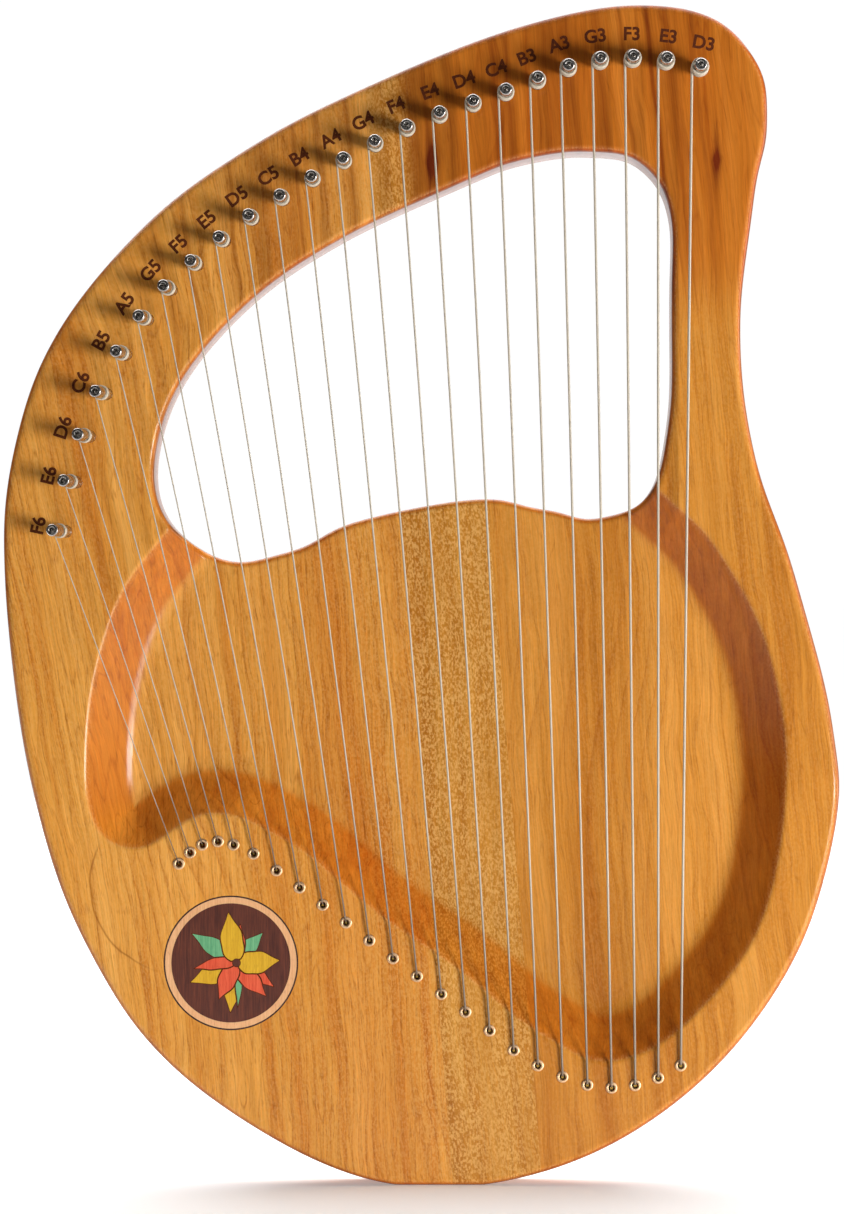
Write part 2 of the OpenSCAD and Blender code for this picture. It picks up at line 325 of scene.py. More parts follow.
class Shell:
    """Gathers the faces of one closed piece: points are welded, and every corner has its own normal."""

    def __init__(self):
        self.index, self.points, self.faces, self.normals = {}, [], [], []

    def point(self, p):
        key = (round(p[0], 3), round(p[1], 3), round(p[2], 3))
        if key not in self.index:
            self.index[key] = len(self.points)
            self.points.append(key)
        return self.index[key]

    def face(self, corners, normals):
        ids = [self.point(p) for p in corners]
        keep = [k for k in range(len(ids)) if ids[k] != ids[k - 1]]
        if len(keep) > 2:
            self.faces.append([ids[k] for k in keep])
            self.normals += [tuple(normals[k]) for k in keep]

    def wall(self, a0, a1, b0, b1, n0, n1):
        """Quad from the edge a0-a1 to b0-b1, its winding set by the normal n0."""
        turn = np.cross(np.subtract(a1, a0), np.subtract(b0, a0))
        corners = [(a0, n0), (a1, n1), (b1, n1), (b0, n0)]
        if np.dot(turn, n0) < 0:
            corners.reverse()
        self.face([c[0] for c in corners], [c[1] for c in corners])

    def build(self, name):
        mesh = bpy.data.meshes.new(name)
        mesh.from_pydata([Vector(p) * MM for p in self.points], [], self.faces)
        mesh.polygons.foreach_set("use_smooth", [True] * len(mesh.polygons))
        mesh.normals_split_custom_set(self.normals)
        piece = bpy.data.objects.new(name, mesh)
        bpy.context.scene.collection.objects.link(piece)
        return piece


def stave_of(p):
    """Number of the shell that each point of a face belongs to."""
    stave = (p[:, 0] > seam_x(0, p[:, 1])).astype(int)
    stave += p[:, 0] > seam_x(1, p[:, 1])
    stave = np.where(stave == 2, 3, stave)
    return np.where((stave == 1) & (p[:, 1] > SPLIT_Z), 2, stave)


def pocket_of(p, pockets):
    """Number of the pocket that each point lies in, or -1."""
    hole = np.full(len(p), -1)
    for k, pocket in enumerate(pockets):
        hole[np.hypot(*(p - np.array(pocket.centre)).T) < pocket.r] = k
    return hole


def face_of_board(side, shells, pockets, mid_y):
    """Adds one face of the board to the four shells, with its pockets and its half of each wall."""
    verts, faces = triangulate(side, pockets)
    depth, normals = (front_surface if side == "front" else back_surface)(verts)
    into = 1.0 if side == "front" else -1.0
    plane = FRONT_Y if side == "front" else BACK_Y
    surface = np.stack([verts[:, 0], plane + into * depth, verts[:, 1]], axis=1)

    centre = verts[faces].mean(1)
    solid = (outer.inside(centre)[0] > 0) & (opening.inside(centre)[0] < 0)
    stave, hole = stave_of(centre), pocket_of(centre, pockets)

    def lowered(v, k):
        """A point of the surface, or of the bottom of pocket k under it."""
        if k < 0:
            return surface[v]
        p = pockets[k]
        return np.array([verts[v, 0] + p.run * p.depth, plane + into * p.depth, verts[v, 1]])

    def wall_to_middle(s, k, a, b, n0, n1):
        """Wall of shell s from the edge a-b straight in to where the two halves meet."""
        a0, a1 = lowered(a, k), lowered(b, k)
        b0, b1 = (np.array([p[0], mid_y, p[2]]) for p in (a0, a1))
        shells[s].wall(a0, a1, b0, b1, n0, n1)

    edge_sides = {}
    for f in np.nonzero(solid)[0]:
        s, k = int(stave[f]), int(hole[f])
        corner = [int(v) for v in faces[f]]
        pts = [lowered(v, k) for v in corner]
        turn = np.cross(pts[1] - pts[0], pts[2] - pts[0])
        if turn[1] * into > 0:
            corner.reverse()
            pts.reverse()
        nrm = [normals[v] for v in corner] if k < 0 else [(0, -into, 0)] * 3
        shells[s].face(pts, nrm)
        for e in range(3):
            a, b = corner[e], corner[(e + 1) % 3]
            edge_sides.setdefault((min(a, b), max(a, b)), []).append((s, k))
    for (a, b), sides in edge_sides.items():
        if len(sides) == 1:
            n0, n1 = (unit(np.array([normals[v][0], 0, normals[v][2]])) for v in (a, b))
            wall_to_middle(*sides[0], a, b, n0, n1)
            continue
        (s0, k0), (s1, k1) = sides
        if s0 != s1:
            for (s, k), way in (((s0, k0), s0 < s1), ((s1, k1), s1 < s0)):
                n = unit(np.array([1.0, 0, SEAM_LEAN]) * (1 if way else -1))
                wall_to_middle(s, k, a, b, n, n)
        elif k0 != k1:
            k = max(k0, k1)
            c = pockets[k].centre
            n0, n1 = (unit(np.array([c[0] - verts[v, 0], 0, c[1] - verts[v, 1]])) for v in (a, b))
            shells[s0].wall(surface[a], surface[b], lowered(a, k), lowered(b, k), n0, n1)


def pin_places():
    """Foot of each tuning pin on the face, in millimetres, and the direction in which it stands out."""
    joints = sorted(frame["record"]["behaviour"]["joints"], key=lambda j: j["name"])
    return [(np.array(j["pos_m"]) / MM, np.array(j["axis"], float)) for j in joints]


HOLES_PER_KNOT = 3
BEND_FIRST = 20


def hole_place(i):
    """Mouth of string hole i, counted from 1, on the face: along the row, or at a place of the bend."""
    p = row_point(HOLE_ROW, (i - 1) / HOLES_PER_KNOT) if i < BEND_FIRST else HOLE_BEND[i - BEND_FIRST]
    return np.array([p[0], FRONT_Y, p[1]])


PINS = pin_places()
HOLES = [hole_place(i) for i in range(1, STRINGS + 1)]


def make_board(finishes):
    """The four staves, with their pockets for the pins, the string holes and the inlay."""
    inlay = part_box("inlay_purfling")
    middle = ((inlay[0][0] + inlay[1][0]) / 2 / MM, (inlay[0][2] + inlay[1][2]) / 2 / MM)
    radius = (inlay[1][0] - inlay[0][0]) / 2 / MM
    front = [Pocket(middle, radius + 0.01, (inlay[1][1] - inlay[0][1]) / MM, segments=120)]
    front += [Pocket((foot[0], foot[2]), PIN_R + 0.05, PIN_DEPTH, run=axis[0] / axis[1])
              for foot, axis in PINS]
    front += [Pocket((h[0], h[2]), *STRING_HOLE, segments=20) for h in HOLES]
    back = [Pocket((h[0], h[2]), *BALL_POCKET, segments=28) for h in HOLES]
    shells = [Shell() for _ in range(4)]
    face_of_board("front", shells, front, BACK_Y - SHELL_JOIN)
    face_of_board("back", shells, back, BACK_Y - SHELL_JOIN)
    names = ("stave_left", "stave_centre_lower", "stave_centre_upper", "stave_right")
    slots = ("wood_left", "wood_centre", "wood_centre", "wood_right")
    for shell, name, slot, finish in zip(shells, names, slots, finishes):
        piece = shell.build("board_" + name)
        piece.data.materials.append(finish)
        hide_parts(name)
        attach(piece, "root")


# ---------------------------------------------------------------- round pieces and wires

def pin_axes(k):
    """Foot of pin k and its directions: right, up and out along the pin."""
    foot, axis = PINS[k]
    up = np.array([0.0, 0.0, 1.0])
    return foot, unit(np.cross(up, axis)), up, axis


def pin_frame(k):
    """Turns a point given along the directions of pin k into a place in the row."""
    foot, side, up, axis = pin_axes(k)
    return lambda p: foot + side * p[0] + up * p[1] + axis * p[2]


def into_pin_frame(k, p):
    """The other way: a place in the row, given along the directions of pin k."""
    foot, side, up, axis = pin_axes(k)
    v = np.array(p) - foot
    return np.array([v @ side, v @ up, v @ axis])


def smooth_piece(name, points, faces, finish, body, replaced=(), sharp=60):
    """Smooth mesh that rides a body, in place of a CAD node; edges past the sharp angle stay sharp."""
    mesh = bpy.data.meshes.new(name)
    mesh.from_pydata([Vector(p) * MM for p in points], [], faces)
    mesh.polygons.foreach_set("use_smooth", [True] * len(mesh.polygons))
    mesh.set_sharp_from_angle(angle=math.radians(sharp))
    mesh.materials.append(finish)
    piece = bpy.data.objects.new(name, mesh)
    bpy.context.scene.collection.objects.link(piece)
    if replaced:
        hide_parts(*replaced)
    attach(piece, body)


def lathe(profile, segments, place):
    """Closed solid turned from (radius, height) pairs, the first and last on the axis; a radius
    may be a function of the angle and the height."""
    points, faces = [], []
    for radius, h in profile[1:-1]:
        for k in range(segments):
            a = 2 * math.pi * k / segments
            r = radius(a, h) if callable(radius) else radius
            points.append(place((r * math.cos(a), r * math.sin(a), h)))
    rings = len(profile) - 2
    for j in range(rings - 1):
        for k in range(segments):
            a, b = j * segments + k, j * segments + (k + 1) % segments
            faces.append((a, b, b + segments, a + segments))
    low, high = len(points), len(points) + 1
    points += [place((0, 0, profile[0][1])), place((0, 0, profile[-1][1]))]
    top = (rings - 1) * segments
    for k in range(segments):
        faces.append((low, (k + 1) % segments, k))
        faces.append((high, top + k, top + (k + 1) % segments))
    return points, faces


def tube(path, radius, sides):
    """Round wire along a path, closed at both ends, carried along without twist."""
    path = [np.array(p, float) for p in path]
    count = len(path)
    ways = [path[min(k + 1, count - 1)] - path[max(k - 1, 0)] for k in range(count)]
    ways = [unit(w) for w in ways]
    side = unit(np.cross(ways[0], (0.31, 0.17, 0.93)))    # any direction that no wire runs along
    points, faces = [], []
    for p, w in zip(path, ways):
        side = unit(side - w * (side @ w))
        other = np.cross(w, side)
        for k in range(sides):
            a = 2 * math.pi * k / sides
            points.append(p + radius * (math.cos(a) * side + math.sin(a) * other))
    for j in range(count - 1):
        for k in range(sides):
            a, b = j * sides + k, j * sides + (k + 1) % sides
            faces.append((a, b, b + sides, a + sides))
    faces.append(tuple(reversed(range(sides))))
    faces.append(tuple(range((count - 1) * sides, count * sides)))
    return points, faces


STRING_D = (1.2, 0.45)      # thickest and thinnest
STRING_RISE = 9.0           # height on the pin at which the winding starts
TURNS = 5.0
LEAD = 0.5                  # turns that the winding starts ahead of the string's arrival
PER_TURN = 20
END_STEPS = 4               # steps in which the string's end runs in to the pin
COIL_GAP = 0.02
COIL_PITCH = 1.04           # in string diameters
FLANGE_T = 0.6
LIP_GAP = 0.12
DOWN = np.array([0, 1.0, 0])    # into the wood


def string_d(k):
    return STRING_D[0] + (STRING_D[1] - STRING_D[0]) * k / (STRINGS - 1)


def wire_paths(k):
    """Path of string k from its eyelet to its pin, and of its winding round the pin."""
    d = string_d(k)
    hole = HOLES[k]
    toward = unit(PINS[k][0] - hole)
    lip = hole + toward * 1.0 - DOWN * (FLANGE_T + d / 2 + LIP_GAP)
    e = into_pin_frame(k, lip)
    r = PIN_R + d / 2 + COIL_GAP
    leave = math.atan2(e[1], e[0]) - math.acos(r / math.hypot(e[0], e[1]))
    pitch = d * COIL_PITCH
    place = pin_frame(k)

    def wound(r, turns, height):
        """Place at radius r, so many turns on from where the string reaches the pin."""
        a = leave - 2 * math.pi * turns
        return place((r * math.cos(a), r * math.sin(a), height))

    end = wound(r, 0, STRING_RISE)
    start = hole + toward * 0.3
    run = [start + DOWN * 4, start + DOWN * 1.2, start + toward * 0.12 + DOWN * 0.2,
           start + toward * 0.35 - DOWN * (FLANGE_T * 0.75), lip - toward * 0.15 + DOWN * 0.03]
    run += [lip + (end - lip) * t for t in (0.004, 0.02, 0.25, 0.5, 0.75, 1.0)]
    steps = [j / PER_TURN for j in range(int(-LEAD * PER_TURN), int(TURNS * PER_TURN) + 1)]
    coil = [wound(r, t, STRING_RISE + pitch * max(t, t * 0.6)) for t in steps]
    for j in range(1, END_STEPS + 1):
        inward = r * (1 - j / END_STEPS * 0.75)
        height = STRING_RISE + pitch * TURNS + pitch * 0.05 * j
        coil.append(wound(inward, TURNS + j / PER_TURN, height))
    return run, coil


def make_strings(finish):
    for k in range(STRINGS):
        run, coil = wire_paths(k)
        name = "%02d" % (k + 1)
        points, faces = tube(run, string_d(k) / 2, 10)
        smooth_piece("wire_" + name, points, faces, finish, "root", ("string_" + name,))
        points, faces = tube(coil, string_d(k) / 2, 8)
        smooth_piece("winding_" + name, points, faces, finish, "pin_" + name)


THREAD_PITCH = 0.9
THREAD_DEPTH = 0.14
THREAD_TOP = 4.4
THREAD_FADE = 0.6
THREAD_STEPS = 28    # a quarter of a pitch each
PIN_FOOT = -21.0     # deep in the wood
SOCKET_R = 1.2


def thread_r(a, h):
    """Radius of the fine thread on the lower shank, fading out at its top."""
    wave = abs(((h / THREAD_PITCH - a / (2 * math.pi)) % 1.0) * 2 - 1)
    fade = min(max((THREAD_TOP - h) / THREAD_FADE, 0), 1)
    return PIN_R - THREAD_DEPTH * wave * fade


def make_pins(finish):
    """Pins with a finely threaded shank, a rounded end and a blind socket in it."""
    shank = PIN_R - THREAD_DEPTH / 2
    profile = [(0, PIN_FOOT), (1.9, PIN_FOOT), (2.5, PIN_FOOT + 0.6), (shank, PIN_FOOT + 1.5),
               (shank, -1.6)]
    profile += [(thread_r, -1.5 + j * THREAD_PITCH / 4) for j in range(THREAD_STEPS)]
    profile += [(PIN_R, 5.0), (PIN_R, 12.0), (PIN_R, PIN_OUT - 0.75), (PIN_R - 0.06, PIN_OUT - 0.5),
                (PIN_R - 0.2, PIN_OUT - 0.24), (PIN_R - 0.42, PIN_OUT - 0.06), (PIN_R - 0.65, PIN_OUT),
                (1.5, PIN_OUT), (1.34, PIN_OUT - 0.07), (1.22, PIN_OUT - 0.3), (SOCKET_R, PIN_OUT - 0.6),
                (SOCKET_R, PIN_OUT - 3.3), (0.3, PIN_OUT - 3.9), (0, PIN_OUT - 3.95)]
    for k in range(STRINGS):
        points, faces = lathe(profile, 36, pin_frame(k))
        name = "%02d" % (k + 1)
        smooth_piece("pin_" + name, points, faces, finish, "pin_" + name,
                     ("tuning_pin_" + name,), sharp=40)


def make_eyelets(finish):
    """Rolled rings, one in the mouth of each string hole, turned from (radius, height over the face)."""
    lip = [(1.95, 0.02), (2.45, 0.02), (2.66, 0.1), (2.7, 0.26), (2.6, 0.43), (2.35, 0.56), (2.0, 0.6),
           (1.7, 0.58), (1.45, 0.46), (1.33, 0.25), (1.3, -0.1), (1.3, -4.6), (1.7, -4.8), (1.95, -4.6)]
    points, faces = [], []
    segments = 28
    for hole in HOLES:
        first = len(points)
        for r, h in lip:
            for k in range(segments):
                a = 2 * math.pi * k / segments
                points.append(hole + np.array([r * math.cos(a), -h, r * math.sin(a)]))
        for j in range(len(lip)):
            for k in range(segments):
                a, b = j * segments + k, j * segments + (k + 1) % segments
                c, d = [(v + segments) % (len(lip) * segments) for v in (b, a)]
                faces.append(tuple(first + v for v in (a, b, c, d)))
    smooth_piece("eyelets", points, faces, finish, "root", ("string_eyelets",), sharp=50)


# ---------------------------------------------------------------- note names

NOTES = "DEFGABC"
LOWEST_OCTAVE = 3
LABEL_OUT = 12.5
LABEL_SIZE = 8.2


def make_labels(finish):
    """Generic note names burnt into the wood beside the pins, turned to follow their row."""
    glyphs = []
    for k in range(STRINGS):
        foot, _ = PINS[k]
        before, after = PINS[max(k - 1, 0)][0], PINS[min(k + 1, STRINGS - 1)][0]
        along = unit(before - after)
        away = np.array([-along[2], 0, along[0]])
        curve = bpy.data.curves.new("label", "FONT")
        curve.body = NOTES[k % len(NOTES)] + str(LOWEST_OCTAVE + (k + 1) // len(NOTES))
        curve.size = LABEL_SIZE * MM
        curve.align_x, curve.align_y = "CENTER", "CENTER"
        curve.extrude = 0.02 * MM
        curve.offset = 0.24 * MM
        curve.resolution_u = 4
        glyph = bpy.data.objects.new("label", curve)
        at = foot + away * LABEL_OUT + np.array([0, -0.03, 0])
        glyph.matrix_world = (Matrix.Translation(Vector(at) * MM)
                              @ Matrix.Rotation(-math.atan2(along[2], along[0]), 4, "Y")
                              @ Matrix.Rotation(math.pi / 2, 4, "X"))
        bpy.context.scene.collection.objects.link(glyph)
        glyphs.append(glyph)
    bpy.context.view_layer.update()
    points, faces = [], []
    graph = bpy.context.evaluated_depsgraph_get()
    for glyph in glyphs:
        mesh = glyph.evaluated_get(graph).to_mesh()
        first = len(points)
        points += [glyph.matrix_world @ v.co / MM for v in mesh.vertices]
        faces += [tuple(first + v for v in f.vertices) for f in mesh.polygons]
        curve = glyph.data
        bpy.data.objects.remove(glyph)
        bpy.data.curves.remove(curve)
    smooth_piece("note_labels", points, faces, finish, "root", sharp=30)


def make_glue_lines(nodes, finish):
    """A fine dark joint round every petal and leaf, along the front edges of their CAD nodes."""
    points, faces = [], []
    for node in nodes:
        piece = frame["nodes"][node]
        placed = [piece.matrix_world @ v.co / MM for v in piece.data.vertices]
        front = min(p.y for p in placed)
        ahead = [abs(p.y - front) < 0.01 for p in placed]
        flat = {f.index for f in piece.data.polygons if all(ahead[v] for v in f.vertices)}
        sides = {}
        for f in piece.data.polygons:
            for a, b in f.edge_keys:
                key = tuple(sorted(tuple(round(c, 3) for c in placed[v]) for v in (a, b)))
                sides.setdefault(key, []).append(f.index in flat)
        for (a, b), kinds in sides.items():
            if sum(kinds) == 1 and abs(a[1] - front) < 0.01 and abs(b[1] - front) < 0.01 and a != b:
                a, b = (np.array(p) + (0, 0.05, 0) for p in (a, b))
                more, quads = tube([a, b], 0.17, 6)
                faces += [tuple(len(points) + v for v in q) for q in quads]
                points += more
    smooth_piece("inlay_glue_lines", points, faces, finish, "root")


# ---------------------------------------------------------------- finishes

class Finish:
    """A node material with short ways to add and join nodes."""

    def __init__(self, name):
        self.material = bpy.data.materials.new(name)
        self.material.use_nodes = True
        self.tree = self.material.node_tree
        self.shader = self.tree.nodes["Principled BSDF"]
        self.coords = self.tree.nodes.new("ShaderNodeTexCoord").outputs["Object"]

    def node(self, kind, **values):
        n = self.tree.nodes.new("ShaderNode" + kind)
        for key, value in values.items():
            if hasattr(n, key):
                setattr(n, key, value)
            else:
                self.feed(n.inputs[key.replace("_", " ")], value)
        return n

    def feed(self, socket, value):
        if isinstance(value, bpy.types.NodeSocket):
            self.tree.links.new(value, socket)
        else:
            socket.default_value = value

    def math(self, operation, *values):
        n = self.tree.nodes.new("ShaderNodeMath")
        n.operation = operation
        for socket, value in zip(n.inputs, values):
            self.feed(socket, value)
        return n.outputs[0]

    def plus(self, a, b):
        return self.math("ADD", a, b)

    def minus(self, a, b):
        return self.math("SUBTRACT", a, b)

    def times(self, a, b):
        return self.math("MULTIPLY", a, b)

    def over(self, a, b):
        return self.math("DIVIDE", a, b)

    def length(self, a, b):
        """Length of the vector (a, b)."""
        return self.math("SQRT", self.plus(self.times(a, a), self.times(b, b)))

    def bell(self, value, centre, width):
        """Bell curve: 1 at the centre, and 1/e at the width on either side."""
        gap = self.over(self.minus(value, centre), width)
        return self.math("EXPONENT", self.times(self.times(gap, gap), -1))

    def stretch(self, scale, shift=(0, 0, 0)):
        """Object coordinates in millimetres, scaled per axis and then shifted."""
        sized = self.node("Mapping", vector_type="POINT", Vector=self.coords)
        sized.inputs["Location"].default_value = shift
        sized.inputs["Scale"].default_value = [s / MM for s in scale]
        return sized.outputs[0]

    def place(self, shift=(0, 0, 0)):
        """Object coordinates in millimetres, as the values x, y and z."""
        return tuple(self.node("SeparateXYZ", Vector=self.stretch((1, 1, 1), shift)).outputs)

    def smooth(self, value, start, end):
        """0 up to start and 1 from end, with a soft step between; start may be above end."""
        n = self.node("MapRange", interpolation_type="SMOOTHSTEP")
        low, high, out = (start, end, (0, 1)) if start < end else (end, start, (1, 0))
        for socket, v in zip(n.inputs[:5], (value, low, high, *out)):
            self.feed(socket, v)
        return n.outputs[0]

    def noise(self, vector, detail, rough, warp=0.0):
        n = self.node("TexNoise", Vector=vector)
        n.inputs["Scale"].default_value = 1.0
        n.inputs["Detail"].default_value = detail
        n.inputs["Roughness"].default_value = rough
        n.inputs["Distortion"].default_value = warp
        return n.outputs[0]

    def ramp(self, value, stops):
        """Value or colour looked up along stops of (place, grey or colour)."""
        n = self.node("ValToRGB", Fac=value)
        elements = n.color_ramp.elements
        while len(elements) < len(stops):
            elements.new(0.5)
        for element, (place, shade) in zip(elements, stops):
            element.position = place
            element.color = (shade, shade, shade, 1) if isinstance(shade, (int, float)) else (*shade, 1)
        return n.outputs[0]

    def mix(self, kind, factor, a, b):
        n = self.tree.nodes.new("ShaderNodeMix")
        n.data_type, n.blend_type = "RGBA", kind
        self.feed(n.inputs[0], factor)
        self.feed(n.inputs[6], (*a, 1) if isinstance(a, tuple) else a)
        self.feed(n.inputs[7], (*b, 1) if isinstance(b, tuple) else b)
        return n.outputs[2]

    def bump(self, height, strength, reach):
        n = self.node("Bump", Height=height, Strength=strength, Distance=reach)
        self.feed(self.shader.inputs["Normal"], n.outputs[0])

    def set(self, **values):
        for key, value in values.items():
            self.feed(self.shader.inputs[key.replace("_", " ")], value)
        return self.material


def linear(hexa):
    """Scene colour of a screen colour written as six hex digits."""
    out = []
    for k in (0, 2, 4):
        c = int(hexa[k:k + 2], 16) / 255
        out.append(c / 12.92 if c < 0.04045 else ((c + 0.055) / 1.055) ** 2.4)
    return tuple(out)


def circle_through(a, b, c):
    """Centre and radius of the circle through three points, to a tenth of a millimetre."""
    sides = np.array([np.subtract(b, a), np.subtract(c, a)])
    centre = np.linalg.solve(2 * sides, [np.dot(p, p) - np.dot(a, a) for p in (b, c)])
    return [round(float(v), 1) for v in (*centre, math.dist(centre, a))]


# Marks in the wood, in millimetres. Dark stripes of the head are (place across the grain, half width,
# lowest z, strength), and soft stripes along the whole board are (place, half width, strength).
HEAD_STRIPES = [(13, 5, 405, 0.5), (19, 1.4, 400, 0.5), (30, 2.2, 405, 0.35), (52, 3.5, 400, 0.5),
                (58, 1.2, 400, 0.7), (79, 6, 405, 0.45), (88, 1.5, 405, 0.55), (101, 3, 405, 0.4),
                (112, 1.1, 400, 0.6), (124, 1.4, 395, 0.95), (133, 4, 400, 0.4), (144, 1.2, 400, 0.5),
                (-39, 1.2, 400, 0.6), (-29, 1.6, 410, 0.5), (-16, 1.1, 400, 0.6), (-57, 5, 390, 0.3),
                (-4, 3.5, 405, 0.3), (-70, 1.0, 380, 0.5), (-58, 17, 385, 0.22), (-22, 9, 400, 0.22),
                (-88, 1.1, 360, 0.5), (-98, 0.9, 350, 0.4)]
LONG_STRIPES = [(-40, 13, 0.42), (-72, 5, 0.2), (-14, 6, 0.16), (66, 9, 0.16), (92, 5, 0.14),
                (-108, 9, 0.12), (-135, 5, 0.14)]
# Knots are (x, z, width, height, strength).
KNOTS = [(4.5, 459, 3.4, 13, 2.2), (132, 460, 2.4, 11, 1.8), (-150, 84, 1.0, 3, 0.8)]
HAIRLINE = circle_through((-145, 152), (-148.5, 131), (-118, 96.4))
# The wall of the opening lies inside this leaning oval, and the outer edge outside it.
OVAL_Z = 360
OVAL_TURN = 0.7
OVAL_RATIO = 0.8
OVAL_EDGE = (152, 143)


def growth_lines(f, colour, grain, u, fibre, patchy, rings):
    """Thin dark growth rings every few millimetres, fading out on one side, and fainter figure lines."""
    spread = grain(0.012, 0.01, 0.003, 1, 0.5, 4.4)
    ring = f.math("FRACT", f.plus(f.times(u, 0.17), f.times(spread, 15)))
    ring = f.times(f.ramp(ring, [(0.0, 1.0), (0.1, 0.4), (0.4, 0.0), (0.95, 0.0), (1.0, 1.0)]), rings)
    ring = f.times(ring, f.ramp(patchy, [(0.35, 0.35), (0.6, 1.0)]))
    colour = f.mix("MULTIPLY", ring, colour, (0.66, 0.46, 0.26))
    figure = f.math("FRACT", f.times(grain(0.11, 0.05, 0.008, 1, 0.45, 6.6), 9))
    figure = f.times(f.ramp(figure, [(0.0, 1.0), (0.1, 0.0), (0.9, 0.0), (1.0, 1.0)]), rings)
    figure = f.times(figure, f.ramp(fibre, [(0.35, 1.0), (0.65, 0.3)]))
    return f.mix("MULTIPLY", figure, colour, (0.62, 0.44, 0.25))


def flecks(f, colour, x, z, mottle, patchy, fleck):
    """Silvery ray fleck, strongest in the middle stave and thinning out to its left."""
    straight = f.math("MULTIPLY_ADD", SEAM_LEAN, f.minus(z, SEAM_Z), x)
    near = f.math("MULTIPLY_ADD", f.smooth(straight, SEAM_X[0] - 70, SEAM_X[0]), 0.5, 0.5)
    beside = f.times(f.smooth(straight, 18, 30), f.smooth(z, 380, 420))
    near = f.times(near, f.minus(1.0, beside))
    shine = f.ramp(mottle, [(0.4, 0.0), (0.64, 1.0)])
    shine = f.times(shine, f.ramp(patchy, [(0.3, 0.4), (0.55, 1.0)]))
    colour = f.mix("MIX", f.times(f.times(shine, near), fleck), colour, linear("E8B468"))
    return f.mix("MULTIPLY", f.times(beside, 0.8), colour, (0.92, 0.7, 0.44))


def stripes(f, colour, u, z):
    for at, width, low, strength in HEAD_STRIPES:
        lobe = f.times(f.bell(u, at, width), strength)
        lobe = f.times(lobe, f.smooth(z, low - 15, low + 25))
        colour = f.mix("MULTIPLY", lobe, colour, (0.5, 0.33, 0.18))
    for at, width, strength in LONG_STRIPES:
        colour = f.mix("MULTIPLY", f.times(f.bell(u, at, width), strength), colour, (0.84, 0.6, 0.36))
    return colour


def knots(f, colour, x, z, fibre):
    for at_x, at_z, wide, tall, strength in KNOTS:
        dx = f.over(f.minus(x, at_x), wide)
        dz = f.over(f.minus(z, at_z), tall)
        reach = f.plus(f.times(dx, dx), f.math("ABSOLUTE", dz))
        reach = f.plus(reach, f.times(f.minus(fibre, 0.5), 0.9))
        lobe = f.times(f.math("EXPONENT", f.times(reach, -1.6)), strength)
        colour = f.mix("MULTIPLY", lobe, colour, (0.3, 0.12, 0.06))
    return colour


def hairline(f, colour, x, z, ripple):
    """One thin curved line beside the inlay, wavering by up to 1.5 mm either way."""
    at_x, at_z, radius = HAIRLINE
    away = f.plus(f.length(f.minus(x, at_x), f.minus(z, at_z)), f.times(ripple, 3))
    line = f.times(f.bell(away, radius + 1.5, 0.45), 0.7)
    line = f.times(line, f.times(f.smooth(z, 94, 104), f.smooth(z, 156, 146)))
    return f.mix("MULTIPLY", f.times(line, f.smooth(x, -112, -120)), colour, (0.45, 0.3, 0.16))


def opening_wall(f, x, z, tilt):
    """1 on the wall of the opening and 0 elsewhere."""
    cos, sin = math.cos(OVAL_TURN), math.sin(OVAL_TURN)
    level = f.minus(z, OVAL_Z)
    first = f.plus(f.times(x, cos), f.times(level, sin))
    other = f.over(f.minus(f.times(level, cos), f.times(x, sin)), OVAL_RATIO)
    return f.times(f.smooth(tilt, 0.4, 0.2), f.smooth(f.length(first, other), *OVAL_EDGE))


